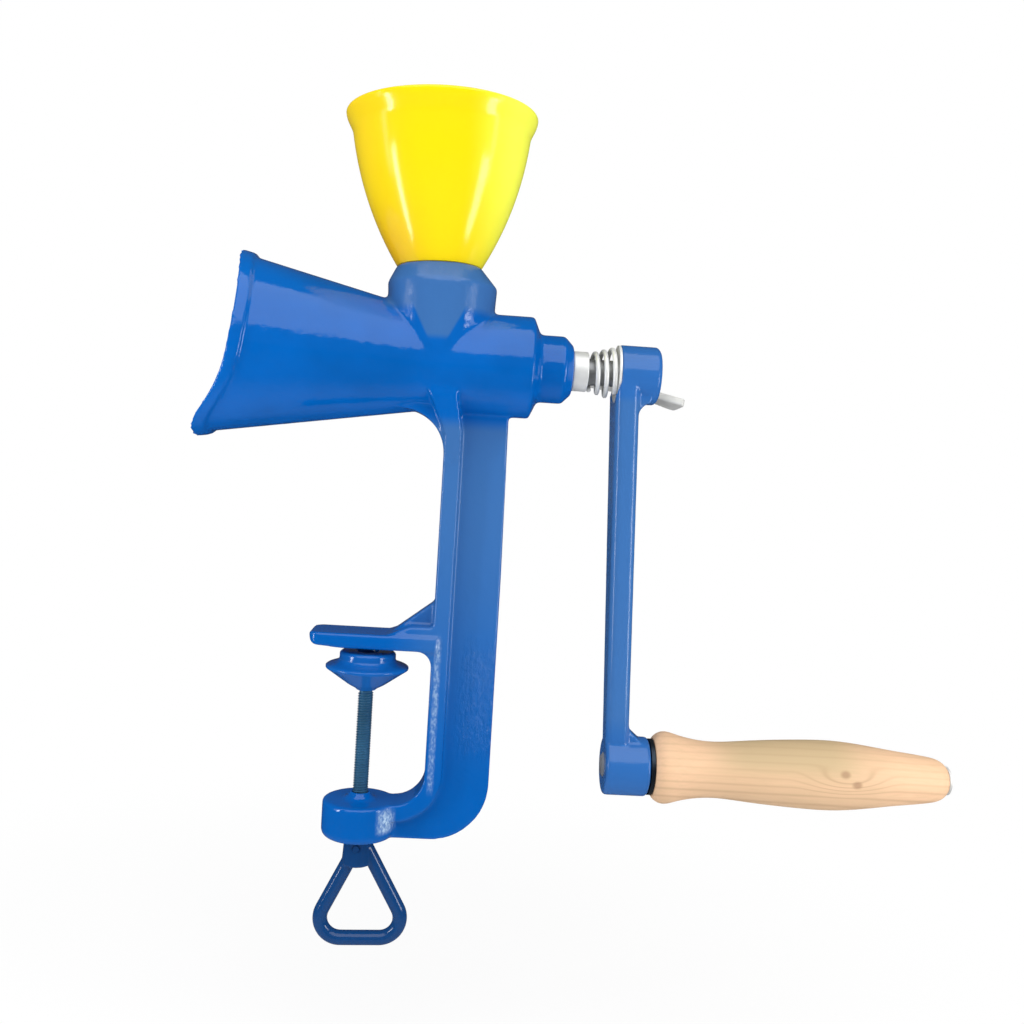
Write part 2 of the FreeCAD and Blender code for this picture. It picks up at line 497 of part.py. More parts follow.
def shaft_bush():
    """The bush pressed into the boss. Its collar stands out and carries the spring."""
    body = rod(BARREL_X1 - BARREL_END_WALL, BOSS_X1, BUSH_R)
    collar = rod(BOSS_X1, COLLAR_X1, COLLAR_R)
    collar = collar.makeFillet(0.5, [e for e in collar.Edges if e.Curve.TypeId == "Part::GeomCircle"])
    bore = rod(BARREL_X0, COLLAR_X1 + 1, SHAFT_R + RUNNING_GAP)
    return body.fuse(collar).cut(bore)


def pressure_spring():
    """The conical spring that pulls the burr into its ring, small end on the bush's collar."""
    rise = SPRING_LENGTH - 2 * SPRING_WIRE_R - 0.2
    small, steps = COLLAR_R - SPRING_WIRE_R, round(12 * SPRING_TURNS)
    points = []
    for i in range(steps + 1):
        angle, share = 2 * math.pi * SPRING_TURNS * i / steps, i / steps
        radius = small + SPRING_FLARE * share
        points.append(V(radius * math.cos(angle), radius * math.sin(angle), rise * share))
    line = Part.BSplineCurve()
    line.interpolate(points)
    wire_end = Part.makeCircle(SPRING_WIRE_R, points[0], line.tangent(line.FirstParameter)[0])
    coil = Part.Wire([line.toShape()]).makePipeShell([Part.Wire([wire_end])], True, True)
    coil.rotate(V(0, 0, 0), Y_AXIS, 90)
    coil.translate(V(COLLAR_X1 + SPRING_WIRE_R + 0.1, 0, SHAFT_Z))
    return coil


def spring_washer():
    return rod(WASHER_X0, HUB_X0, SPRING_WASHER_R).cut(
        rod(WASHER_X0 - 1, HUB_X0 + 1, SHAFT_R + RUNNING_GAP))


# ---------------------------------------------------------------- crank
def set_screw_place(shape):
    """Turn a shape drawn above the shaft so that it points to the back and a little down."""
    shape.rotate(V(0, 0, 0), X_AXIS, -90 - WING_TILT)
    shape.translate(V(0, 0, SHAFT_Z))
    return shape


def crank_arm():
    hub = rod(HUB_X0, HUB_X1, HUB_R)
    hub = hub.makeChamfer(HUB_CHAMFER, [e for e in hub.Edges if abs(e.BoundBox.XMin - HUB_X1) < 0.01
                                        and e.BoundBox.XLength < 0.01])
    boss = rod(CRANK_BOSS_X0, CRANK_BOSS_X1, CRANK_BOSS_R, CRANK_Z)
    boss = boss.makeFillet(1.4, [e for e in boss.Edges if e.BoundBox.XLength < 0.01])
    rings = []
    for z, half in ((SHAFT_Z, ARM_TOP_HALF), (CRANK_Z, ARM_LOW_HALF)):
        along = (SHAFT_Z - z) / CRANK_RADIUS
        middle = HUB_X0 + ARM_THICK / 2 - ARM_PROUD + CRANK_LEAN * along
        section = rounded_outline([
            (middle - ARM_THICK / 2, -half, ARM_EDGE_R), (middle + ARM_THICK / 2, -half, ARM_EDGE_R),
            (middle + ARM_THICK / 2, half, ARM_EDGE_R), (middle - ARM_THICK / 2, half, ARM_EDGE_R)])
        section.rotate(V(0, 0, 0), X_AXIS, -90)
        section.translate(V(0, 0, z))
        rings.append(section)
    arm = Part.makeLoft(rings, True, True)
    shoulder = plate([
        (CRANK_BOSS_X0 + 1, CRANK_Z, 0), (CRANK_BOSS_X1 - 3, CRANK_Z, 0),
        (CRANK_BOSS_X1 - 3, CRANK_Z + CRANK_BOSS_R - 1.2, 0),
        (CRANK_BOSS_X0 + ARM_THICK, CRANK_Z + CRANK_BOSS_R + 3.4, 6.0),
        (CRANK_BOSS_X0 + ARM_THICK - 2, CRANK_Z + 24, 0), (CRANK_BOSS_X0 + 3, CRANK_Z + 24, 0)],
        ARM_LOW_HALF - 1.6)
    arm_face = HUB_X0 - ARM_PROUD + ARM_THICK
    gusset = plate([
        (arm_face - 4, SHAFT_Z - 4, 0), (HUB_X1 - 3, SHAFT_Z - 4, 0), (HUB_X1 - 3, SHAFT_Z - HUB_R + 0.5, 0),
        (arm_face + 0.2, SHAFT_Z - HUB_R - 1.1, 6.0), (arm_face + 1.0, SHAFT_Z - 24, 0),
        (arm_face - 4, SHAFT_Z - 24, 0)], ARM_TOP_HALF - ARM_EDGE_R)
    tapped = post(0, HUB_R + 4, WING_SHANK_R + RUNNING_GAP, WING_X)
    return hub.fuse([boss, arm, shoulder, gusset]).cut([
        rod(HUB_X0 - 1, HUB_X1 + 1, SHAFT_R),
        rod(HUB_X0 - 2 * ARM_PROUD, HUB_X0, SPRING_WASHER_R + FACE_GAP),
        rod(CRANK_BOSS_X0 - 1, CRANK_BOSS_X1 + 1, SPINDLE_R, CRANK_Z),
        set_screw_place(tapped)])


def wing_screw():
    """The winged set screw that locks the crank to the shaft, drawn upright and then placed."""
    shank = post(SHAFT_R - 0.4 + RUNNING_GAP, WING_FOOT + 1, WING_SHANK_R, WING_X)
    hub = Part.makeCone(WING_HUB_R, WING_HUB_R - 1.2, 7.0, V(WING_X, 0, WING_FOOT))
    paddle = plate([
        (2.0, WING_FOOT + 0.4, 0), (WING_SPAN_HALF, WING_FOOT + 1.0, 1.6),
        (WING_SPAN_HALF - 2.6, WING_TIP, 2.2), (WING_SPAN_HALF - 12, WING_TIP - 2.8, 3.0),
        (2.0, WING_FOOT + 5.5, 0)], WING_THICK / 2)
    other = paddle.copy()
    other.rotate(V(0, 0, 0), Z_AXIS, 180)
    wings = paddle.fuse(other)
    wings.rotate(V(0, 0, 0), Z_AXIS, WING_TURN)
    wings.translate(V(WING_X, 0, 0))
    return set_screw_place(shank.fuse([hub, wings]))


def handle_spindle():
    """The steel pin riveted into the arm. The wooden handle turns on it."""
    z = CRANK_Z
    bar = rod(CRANK_BOSS_X0, HANDLE_X1 + FACE_GAP + END_WASHER_THICK, SPINDLE_R, z)
    inner = frustum(CRANK_BOSS_X0 - SPINDLE_HEAD_H, CRANK_BOSS_X0, SPINDLE_HEAD_R - 1.3, SPINDLE_HEAD_R, z)
    x1 = HANDLE_X1 + FACE_GAP + END_WASHER_THICK
    outer = turned([(0, SPINDLE_R + 0.7), (0.5, SPINDLE_R + 0.6), (1.1, SPINDLE_R - 0.6), (1.4, 1.6)],
                   V(x1, 0, z), X_AXIS)
    return bar.fuse([inner, outer])


def handle_washer():
    x0 = CRANK_BOSS_X1 + FACE_GAP
    return rod(x0, x0 + HANDLE_WASHER_THICK, HANDLE_WASHER_R, CRANK_Z).cut(
        rod(x0 - 1, HANDLE_X0, SPINDLE_R + RUNNING_GAP, CRANK_Z))


def handle_end_washer():
    x0 = HANDLE_X1 + FACE_GAP
    return rod(x0, x0 + END_WASHER_THICK, END_WASHER_R, CRANK_Z).cut(
        rod(HANDLE_X1, x0 + 2 * END_WASHER_THICK, SPINDLE_R, CRANK_Z))


def handle():
    profile = [(share * HANDLE_LENGTH, radius) for share, radius in HANDLE_PROFILE]
    grip = turned(profile, V(HANDLE_X0, 0, CRANK_Z), X_AXIS, spline=True)
    return grip.cut(rod(HANDLE_X0 - 1, HANDLE_X1 + 1, SPINDLE_R + RUNNING_GAP, CRANK_Z))


# ---------------------------------------------------------------- clamp
def clamp_screw():
    """The clamp screw, with ring grooves that stand in for its thread."""
    shoulder = PAD_LOW_Z - FACE_GAP
    profile = [(PAD_TOP_Z - PAD_LAND_H - 0.6 + PIVOT_HEAD_H, PIVOT_HEAD_R - 1.2),
               (PAD_TOP_Z - PAD_LAND_H - 0.2, PIVOT_HEAD_R), (PAD_TOP_Z - PAD_LAND_H - 0.6, PIVOT_HEAD_R),
               (PAD_TOP_Z - PAD_LAND_H - 0.6, PIVOT_R), (shoulder, PIVOT_R),
               (shoulder, SCREW_R - 0.5), (shoulder - 0.5, SCREW_R)]
    z = shoulder - 1.0
    while z - SCREW_PITCH > LOOP_HUB_TOP_Z + 0.2:
        profile += [(z, SCREW_R), (z - SCREW_PITCH / 2, SCREW_R - THREAD_DEPTH)]
        z -= SCREW_PITCH
    profile += [(z, SCREW_R), (SCREW_FOOT_Z, SCREW_R)]
    return turned(profile, V(0, 0, 0), Z_AXIS).cut(loop_pin())


def clamp_pad():
    """The swivel pad: a raised round land, a sharp rim and a cone down to its neck."""
    top, rim = PAD_TOP_Z, PAD_RIM_Z
    pad = turned([
        (top, PAD_LAND_R - 0.8), (top - 0.8, PAD_LAND_R), (top - PAD_LAND_H, PAD_LAND_R),
        (top - PAD_LAND_H - 1.1, PAD_LAND_R + 1.3), (rim + 0.5, PAD_RIM_R - 0.8), (rim, PAD_RIM_R),
        (rim - PAD_RIM_H, PAD_RIM_R), (rim - PAD_RIM_H - 0.9, PAD_RIM_R - 1.4),
        (PAD_LOW_Z + 2.4, 7.2), (PAD_LOW_Z + 0.6, PAD_NECK_R + 0.4), (PAD_LOW_Z, PAD_NECK_R)],
        V(0, 0, 0), Z_AXIS)
    recess_z = top - PAD_LAND_H - 0.6 - FACE_GAP
    return pad.cut([post(recess_z, 1, PIVOT_HEAD_R + 0.6), post(-30, 1, PIVOT_R + RUNNING_GAP)])


def clamp_loop():
    """The closed loop that turns the clamp screw, with a short hub at its apex."""
    down = V(LOOP_HALF, 0, -LOOP_LENGTH).normalize()
    start = V(0, 0, LOOP_APEX_Z) - down * (4 * LOOP_BAR_R)
    corners = [(start.x, start.z, 0), (LOOP_HALF, LOOP_LOW_Z, LOOP_CORNER_R), (0, LOOP_LOW_Z, 0)]
    path = Part.Wire(rounded_outline(corners).Edges[:3])      # one side and half of the foot
    ring = Part.Wire([Part.makeCircle(LOOP_BAR_R, start, down)])
    right = path.makePipeShell([ring], True, True).common(block(0, 40, -10, 10, LOOP_LOW_Z - 10, 0))
    bar = right.fuse(right.mirror(V(0, 0, 0), X_AXIS))
    bar.rotate(V(0, 0, LOOP_APEX_Z), Y_AXIS, -LOOP_LEAN)
    bar.translate(V(LOOP_SHIFT, 0, 0))
    hub = Part.makeCone(LOOP_HUB_R, LOOP_HUB_R - 0.6, LOOP_HUB_TOP_Z - LOOP_HUB_LOW_Z,
                        V(0, 0, LOOP_HUB_LOW_Z))
    above = post(LOOP_HUB_TOP_Z, LOOP_HUB_TOP_Z + 8, 20)
    return bar.fuse(hub).cut([above, post(SCREW_FOOT_Z, 0, SCREW_R), loop_pin()])


def loop_pin():
    return Part.makeCylinder(LOOP_PIN_R, 2 * LOOP_HUB_R,
                             V(0, -LOOP_HUB_R, LOOP_HUB_TOP_Z - 3.2), Y_AXIS)


# ---------------------------------------------------------------- hopper
def hopper():
    """The plastic cup: a bulging wall that flares at the rim, and a spigot below."""
    def wall(inset):
        foot = V(HOPPER_FOOT_R - inset, 0, NECK_TOP_Z)
        waist = V(HOPPER_WAIST_R - inset, 0, NECK_TOP_Z + HOPPER_WAIST_HEIGHT)
        rim = V(HOPPER_RIM_R - inset, 0, HOPPER_TOP_Z)
        throat = rim - V(FLARE_PROUD, 0, FLARE_HEIGHT)
        flare = Part.BezierCurve()
        flare.setPoles([throat, throat + V(0.05, 0, 0.4) * FLARE_HEIGHT,
                        rim - V(0, 0, 0.4) * FLARE_HEIGHT, rim])
        base, head = V(0, 0, NECK_TOP_Z), V(0, 0, HOPPER_TOP_Z)
        face = Part.Face(Part.Wire([
            Part.LineSegment(base, foot).toShape(), Part.Arc(foot, waist, throat).toShape(),
            flare.toShape(), Part.LineSegment(rim, head).toShape(),
            Part.LineSegment(head, base).toShape()]))
        return face.revolve(V(0, 0, 0), Z_AXIS, 360)

    floor = post(NECK_TOP_Z - 1, NECK_TOP_Z + HOPPER_WALL, HOPPER_FOOT_R)
    cup = wall(0).cut(wall(HOPPER_WALL).cut(floor))
    cup = cup.makeFillet(RIM_ROUND, [e for e in cup.Edges if e.BoundBox.ZMin > HOPPER_TOP_Z - 0.01])
    spigot_z = NECK_TOP_Z - SPIGOT_LENGTH
    cup = cup.fuse(post(spigot_z, NECK_TOP_Z + 0.5, SOCKET_R - 2 * RUNNING_GAP))
    cup = cup.cut(post(spigot_z - 1, NECK_TOP_Z + HOPPER_WALL + 1, FEED_R))
    cup.translate(V(NECK_X, 0, RUNNING_GAP))
    return leaned(cup)


# ---------------------------------------------------------------- write every node
os.makedirs("parts", exist_ok=True)
NODES = {
    "body_casting": body_casting,
    "hopper": hopper,
    "burr_stator": burr_stator,
    "stator_pin": stator_pin_shape,
    "burr_rotor": burr_rotor,
    "rotor_key": key_shape,
    "rotor_washer": lambda: rod(NUT_X1, ROTOR_X0, BURR_WASHER_R).cut(
        rod(NUT_X1 - 1, ROTOR_X0 + 1, SPINDLE_END_R)),
    "rotor_nut": nut,
    "main_shaft": main_shaft,
    "feed_auger": feed_auger,
    "auger_pin": auger_pin_shape,
    "shaft_bush": shaft_bush,
    "pressure_spring": pressure_spring,
    "spring_washer": spring_washer,
    "crank_arm": crank_arm,
    "wing_screw": wing_screw,
    "handle_spindle": handle_spindle,
    "handle_washer": handle_washer,
    "handle": handle,
    "handle_end_washer": handle_end_washer,
    "clamp_screw": clamp_screw,
    "clamp_pad": clamp_pad,
    "clamp_loop": clamp_loop,
    "loop_pin": loop_pin,
}
for name, make in NODES.items():
    write(name, make())
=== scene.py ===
import json
import math

import bmesh
import bpy
from mathutils import Matrix, Quaternion, Vector


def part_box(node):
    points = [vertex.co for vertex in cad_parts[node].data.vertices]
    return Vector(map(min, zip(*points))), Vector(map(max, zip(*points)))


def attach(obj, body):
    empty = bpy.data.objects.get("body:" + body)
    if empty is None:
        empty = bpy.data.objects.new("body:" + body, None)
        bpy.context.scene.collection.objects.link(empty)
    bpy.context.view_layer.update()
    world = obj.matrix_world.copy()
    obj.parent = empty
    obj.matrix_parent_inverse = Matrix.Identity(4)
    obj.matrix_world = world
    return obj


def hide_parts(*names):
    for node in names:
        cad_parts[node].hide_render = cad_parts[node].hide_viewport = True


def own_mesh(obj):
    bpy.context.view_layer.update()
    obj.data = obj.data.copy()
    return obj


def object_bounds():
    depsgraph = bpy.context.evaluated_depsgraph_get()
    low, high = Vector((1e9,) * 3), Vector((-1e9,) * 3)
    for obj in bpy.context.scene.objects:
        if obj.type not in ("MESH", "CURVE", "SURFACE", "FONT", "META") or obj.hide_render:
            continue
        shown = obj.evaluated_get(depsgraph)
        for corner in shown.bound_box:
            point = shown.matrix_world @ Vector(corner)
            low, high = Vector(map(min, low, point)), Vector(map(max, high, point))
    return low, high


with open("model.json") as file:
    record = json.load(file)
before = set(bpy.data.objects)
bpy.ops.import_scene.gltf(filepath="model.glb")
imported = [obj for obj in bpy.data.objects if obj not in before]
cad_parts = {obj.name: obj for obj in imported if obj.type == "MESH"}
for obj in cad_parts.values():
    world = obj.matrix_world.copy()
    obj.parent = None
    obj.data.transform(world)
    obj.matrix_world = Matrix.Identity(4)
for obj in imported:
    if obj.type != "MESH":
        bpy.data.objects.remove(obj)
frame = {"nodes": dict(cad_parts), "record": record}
nodes = frame["nodes"]
cad_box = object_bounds()
MM = 0.001


# ------------------------------------------------------------------ camera, floor and light
# The mill is seen square from its side, from as far as a hand-held camera stands, and the camera
# leans a little. The white sheet lies far enough below it for the clamp to open all the way.
CAMERA_PLACE = Vector((0.0307, -0.4043, 0.0741))
CAMERA_AIM = Vector((0.0520, 0.0, 0.0546))
CAMERA_ROLL = math.radians(3.6)
CAMERA_LENS, SENSOR_WIDTH = 37.0, 36.0
FLOOR_DROP, FLOOR_SIZE = 40 * MM, 4.0
FLOOR_Z = cad_box[0][2] - FLOOR_DROP
SHEET_WHITE, SHEET_SHADE = (0.92, 0.92, 0.92, 1.0), (0.03, 0.03, 0.03, 1.0)
PLAIN_WHITE = (1.0, 1.0, 1.0, 1.0)
LAMP_AIM = Vector((0.05, 0, 0.06))

camera_data = bpy.data.cameras.new("camera")
camera_data.lens = CAMERA_LENS
camera_data.sensor_width = SENSOR_WIDTH
camera_data.clip_start = 10 * MM
camera = bpy.data.objects.new("camera", camera_data)
bpy.context.scene.collection.objects.link(camera)
camera.location = CAMERA_PLACE
camera.rotation_mode = "QUATERNION"
look = (CAMERA_AIM - CAMERA_PLACE).to_track_quat("-Z", "Y")
camera.rotation_quaternion = look @ Quaternion((0, 0, 1), CAMERA_ROLL)
bpy.context.scene.camera = camera
bpy.context.scene.view_settings.view_transform = "Standard"


class Link:
    """The output of a node. A sum written with it adds its Math nodes to the same finish."""

    def __init__(self, finish, socket):
        self.finish = finish
        self.socket = socket

    def maths(self, operation, *others):
        return self.finish.add("Math", {"operation": operation}, (self, *others))

    def __add__(self, other):
        return self.maths("ADD", other)

    def __sub__(self, other):
        return self.maths("SUBTRACT", other)

    def __rsub__(self, other):
        return self.finish.add("Math", {"operation": "SUBTRACT"}, (other, self))

    def __mul__(self, other):
        return self.maths("MULTIPLY", other)

    def __pow__(self, other):
        return self.maths("POWER", other)

    __radd__ = __add__
    __rmul__ = __mul__

    def above(self, low, high):
        """0 below low, 1 above high, and smooth between them."""
        settings = {"interpolation_type": "SMOOTHSTEP"}
        return self.finish.add("MapRange", settings, {"Value": self, "From Min": low, "From Max": high})

    def within(self, start, end):
        """It rises from 0 to 1 over the pair start, and falls back to 0 over the pair end."""
        return self.above(*start) * (1 - self.above(*end))


class Finish:
    """A material made of nodes."""

    def __init__(self, name, tree=None):
        if tree is None:
            self.material = bpy.data.materials.new(name)
            self.material.use_nodes = True
            tree = self.material.node_tree
        self.tree = tree
        self.tree.nodes.clear()

    def add(self, kind, settings=None, inputs=(), output=0):
        """A new node, with its settings made and its inputs set or linked. Its output comes back."""
        node = self.tree.nodes.new("ShaderNode" + kind)
        for key, value in (settings or {}).items():
            setattr(node, key, value)
        pairs = inputs.items() if isinstance(inputs, dict) else enumerate(inputs)
        for key, value in pairs:
            if isinstance(value, Link):
                self.tree.links.new(value.socket, node.inputs[key])
            else:
                node.inputs[key].default_value = value
        return Link(self, node.outputs[output]) if node.outputs else None

    def place(self):
        return self.add("TexCoord", output="Object")

    def axes(self, place):
        """The three coordinates of a place."""
        return [self.add("SeparateXYZ", None, (place,), axis) for axis in "XYZ"]

    def noise(self, scale, detail, rough, where=None, stretch=None, warp=0.0):
        where = where or self.place()
        if stretch:
            where = self.add("VectorMath", {"operation": "MULTIPLY"}, (where, stretch))
        values = {"Vector": where, "Scale": scale, "Detail": detail, "Roughness": rough,
                  "Distortion": warp}
        return self.add("TexNoise", None, values, "Fac")

    def mix(self, share, one, other):
        """One colour at a share of 0 and the other at 1, by the colour sockets of the node."""
        one, other = (c if isinstance(c, Link) else (*c, 1.0) for c in (one, other))
        return self.add("Mix", {"data_type": "RGBA"}, {0: share, 6: one, 7: other}, 2)

    def bump(self, height, depth):
        """Height from 0 to 1 as relief that is `depth` metres deep."""
        return self.add("Bump", None, {"Height": height, "Distance": depth, "Strength": 1.0})

    def surface(self, **values):
        """The Principled shader, with each value set on or linked to the socket of that name."""
        named = {key.replace("_", " "): value for key, value in values.items()}
        shader = self.add("BsdfPrincipled", None, named)
        self.add("OutputMaterial", None, {"Surface": shader})
        return self.material


def paint(piece, material):
    """Give a piece or a CAD node one material all over."""
    piece.data.materials.clear()
    piece.data.materials.append(material)


sheet_mesh = bpy.data.meshes.new("floor")
sheet = bmesh.new()
bmesh.ops.create_grid(sheet, x_segments=1, y_segments=1, size=FLOOR_SIZE)
bmesh.ops.translate(sheet, vec=(0, 0, FLOOR_Z), verts=sheet.verts)
sheet.to_mesh(sheet_mesh)
sheet.free()
floor = bpy.data.objects.new("floor", sheet_mesh)
bpy.context.scene.collection.objects.link(floor)

# The camera sees the sheet almost pure white, and shiny metal mirrors it as a dark one.
white = Finish("white_sheet")
far = white.add("VectorMath", {"operation": "LENGTH"}, (white.place(),), "Value")
washed_out = white.add("LightPath", output="Is Camera Ray") * (0.85 + 0.15 * far.above(0.15, 0.4))
darkened = white.add("LightPath", output="Is Glossy Ray") * (0.6 + 0.4 * far.above(0.1, 0.3))
paper = white.add("BsdfDiffuse", None, {"Color": SHEET_WHITE})
shade = white.add("BsdfDiffuse", None, {"Color": SHEET_SHADE})
glow = white.add("Emission", None, {"Color": PLAIN_WHITE, "Strength": 1.0})
paper = white.add("MixShader", None, (darkened, paper, shade))
paper = white.add("MixShader", None, (washed_out, paper, glow))
white.add("OutputMaterial", None, {"Surface": paper})
paint(floor, white.material)

# The room is white to the eye and through clear things, greyer as light, and dim in reflections.
world = bpy.data.worlds.new("studio")
world.use_nodes = True
bpy.context.scene.world = world
sky = Finish("studio", world.node_tree)
direct, mirrored, through = (sky.add("LightPath", output=name) for name in
                             ("Is Camera Ray", "Is Glossy Ray", "Is Transmission Ray"))
shown = 0.5 + (direct + through) * 0.5 - mirrored * 0.44
around = sky.add("Background", None, {"Color": PLAIN_WHITE, "Strength": shown})
sky.add("OutputWorld", None, {"Surface": around})


def lamp(name, place, size, glow):
    """A flat soft lamp that faces the mill, with the same brightness however large it is."""
    data = bpy.data.lights.new(name, "AREA")
    data.shape = "RECTANGLE"
    data.size, data.size_y = size
    data.energy = glow * math.pi * size[0] * size[1]
    light = bpy.data.objects.new(name, data)
    bpy.context.scene.collection.objects.link(light)
    light.location = place
    light.rotation_euler = (LAMP_AIM - Vector(place)).to_track_quat("-Z", "Y").to_euler()


lamp("ceiling", (0.05, -0.55, 0.85), (1.5, 1.25), 1.6)
lamp("strip_left", (-0.31, -0.16, 0.02), (0.04, 0.24), 13.0)
lamp("strip_right", (0.38, -0.19, 0.02), (0.08, 0.24), 7.0)
lamp("window_left", (-0.85, -0.22, 0.2), (0.1, 0.5), 2.0)
lamp("window_right", (0.9, -0.3, 0.2), (0.1, 0.5), 2.0)


# ------------------------------------------------------------------ body casting
# One iron casting: barrel, trumpet, neck, column, jaw and screw boss. Its corners are rounded by
# the mould's fillets and again by the thick stoved enamel, which lies in soft waves over the iron.
CAST_VOXEL, CAST_ROUNDS = 0.66 * MM, 9
MOST_TRIANGLES = 185000
OFF_GRID = Vector((0.31, 0.37, 0.43))
BLUE, DEEP_BLUE, PALE_BLUE = (0.0, 0.122, 0.50), (0.0, 0.098, 0.40), (0.04, 0.15, 0.41)
# The white of the painted glints.
GLINT_WHITE = (0.6, 0.78, 0.9)
ENAMEL_RELIEF = 0.4 * MM

# The places where the colour changes, in metres: sand pits, painted light and painted reflection, and
# painted glints in a row and a patch. Each pair is where a change starts and ends.
SAND_SIDES, SAND_HEIGHTS = ((0.032, 0.04), (0.06, 0.065)), ((-0.045, -0.035), (-0.008, 0.012))
# Painted light: from this height upwards the enamel's random tone is drawn brighter, where light falls on
# the upper parts.
BRIGHT_HEIGHT = (0.03, 0.1)
# The neck, the V below it and the column's web are drawn paler as painted light and painted reflection.
NECK_SIDES, NECK_FOOT = ((-0.002, 0.001), (0.04, 0.043)), (0.126, 0.13)
WEDGE_MIDDLE, WEDGE_TIP, WEDGE_SLOPE = 0.02, 0.11, 0.52
WEDGE_EDGE, WEDGE_FOOT = (-0.0005, 0.0008), (0.116, 0.119)
COLUMN_SIDE, COLUMN_HEIGHTS = (0.006, 0.026), ((-0.06, 0.06), (0.084, 0.09))
# A row and a patch of white are painted glints.
ROW_SIDES, ROW_HEIGHTS = ((0.0252, 0.0264), (0.0272, 0.0286)), ((-0.056, -0.05), (0.0, 0.008))
PATCH_SIDES, PATCH_HEIGHTS = ((0.0068, 0.0102), (0.0115, 0.015)), ((-0.0712, -0.068), (-0.0635, -0.0595))
ROW_BACK, PATCH_BACK = (-0.0085, -0.0075), (-0.004, -0.002)


def copy_of(name):
    """A piece of its own with the mesh of a CAD node, its loose triangles joined."""
    piece = bpy.data.objects.new(name + "_finished", bpy.data.meshes.new(name + "_finished"))
    bpy.context.scene.collection.objects.link(piece)
    shell = bmesh.new()
    shell.from_mesh(nodes[name].data)
    bmesh.ops.remove_doubles(shell, verts=shell.verts, dist=1e-6)
    shell.to_mesh(piece.data)
    shell.free()
    return piece


def settle(piece):
    """Turn a piece's live modifiers into its mesh."""
    bpy.context.view_layer.update()
    ready = piece.evaluated_get(bpy.context.evaluated_depsgraph_get())
    mesh = bpy.data.meshes.new_from_object(ready)
    piece.modifiers.clear()
    piece.data = mesh


def smooth_faces(piece):
    for face in piece.data.polygons:
        face.use_smooth = True


def cast_skin(name, voxel, rounds=3):
    """The node's shape with its edges and inner corners rounded as in a painted casting.

    Its flat faces are kept off the voxel grid's own planes, where they would come out crinkled.
    """
    piece = copy_of(name)
    piece.data.transform(Matrix.Translation(OFF_GRID * voxel))
    skin = piece.modifiers.new("skin", "REMESH")
    skin.mode = "VOXEL"
    skin.voxel_size = voxel
    skin.use_smooth_shade = True
    ease = piece.modifiers.new("ease", "SMOOTH")
    ease.factor = 0.5
    ease.iterations = rounds
    settle(piece)
    triangles = 2 * len(piece.data.polygons)
    if triangles > MOST_TRIANGLES:
        fewer = piece.modifiers.new("fewer", "DECIMATE")
        fewer.ratio = MOST_TRIANGLES / triangles
        settle(piece)
    piece.data.transform(Matrix.Translation(-OFF_GRID * voxel))
    smooth_faces(piece)
    return piece


def enamel(name, painted_light, tint=1.0, glints=None):
    """Glossy enamel over rough iron, darker with a tint below 1, which is painted shade over a whole
    piece.

    One function gives the share of paler blue at a place, as painted light and painted reflection, and
    the other, if given, the share of white, as painted glints.
    """
    coat = Finish(name)
    place = coat.place()
    across, depth, height = coat.axes(place)
    wave = coat.noise(95.0, 2.0, 0.5, place, warp=0.6)
    peel = coat.noise(420.0, 3.0, 0.55, place)
    pooled = coat.noise(28.0, 3.0, 0.5, place)
    sand = coat.noise(620.0, 4.0, 0.65, place, (1.0, 1.0, 0.45))
    pits = sand.above(0.3, 0.75) * (height.within(*SAND_HEIGHTS) * across.within(*SAND_SIDES))
    deep, bright, pale = (tuple(c * tint for c in blue) for blue in (DEEP_BLUE, BLUE, PALE_BLUE))
    # The random tone is drawn brighter higher up, as painted light.
    colour = coat.mix(pooled.above(0.3, 0.7) * (0.25 + 0.75 * height.above(*BRIGHT_HEIGHT)), deep, bright)
    light_share = painted_light(across, height)
    # Paler blue where painted light and painted reflection are given.
    colour = coat.mix(light_share, colour, pale)
    # The sand pits are drawn darker, as painted shade in them; their relief is real.
    colour = coat.mix(pits * 0.5, colour, deep)
    # White painted glints are added where they are given.
    if glints:
        speckle = coat.noise(1100.0, 3.0, 0.6, place, (1.0, 1.0, 0.6))
        colour = coat.mix(glints(across, depth, height, speckle), colour, GLINT_WHITE)
    relief = wave * 0.6 + peel * 0.15 + pits * 0.9
    return coat.surface(Base_Color=colour, Roughness=0.06 + 0.08 * peel + 0.1 * light_share,
                        Specular_IOR_Level=0.5, Normal=coat.bump(relief, ENAMEL_RELIEF))


def body_share(across, height):
    """Paler blue as painted light and painted reflection: on the neck, in a V where the neck meets the
    barrel, and down the column's web.
    """
    neck = height.above(*NECK_FOOT) * across.within(*NECK_SIDES)
    wedge = WEDGE_SLOPE * (height - WEDGE_TIP) - (across - WEDGE_MIDDLE).maths("ABSOLUTE")
    wedge = wedge.above(*WEDGE_EDGE) * height.above(*WEDGE_FOOT)
    column = height.within(*COLUMN_HEIGHTS) * across.above(*COLUMN_SIDE)
    return neck.maths("MAXIMUM", wedge) + column


def body_painted_glints(across, depth, height, speckle):
    """Painted white glints: a row along the throat's edge, and a patch beside the screw."""
    row = across.within(*ROW_SIDES) * (1 - depth.above(*ROW_BACK)) * height.within(*ROW_HEIGHTS)
    patch = across.within(*PATCH_SIDES) * (1 - depth.above(*PATCH_BACK)) * height.within(*PATCH_HEIGHTS)
    return row * (0.08 + speckle.above(0.4, 0.7) * 0.3) + patch * (0.2 + speckle.above(0.35, 0.7) * 0.6)


body = cast_skin("body_casting", CAST_VOXEL, CAST_ROUNDS)
paint(body, enamel("blue_enamel", body_share, glints=body_painted_glints))
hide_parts("body_casting")
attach(body, "frame")


# ------------------------------------------------------------------ grinding pair
# The toothed ring and cone are bare grey cast iron, cast and then ground on their edges. The cone
# is held by a plated nut and washer, and the ring by a blackened headless screw.
STAIN_SHADE = 0.6


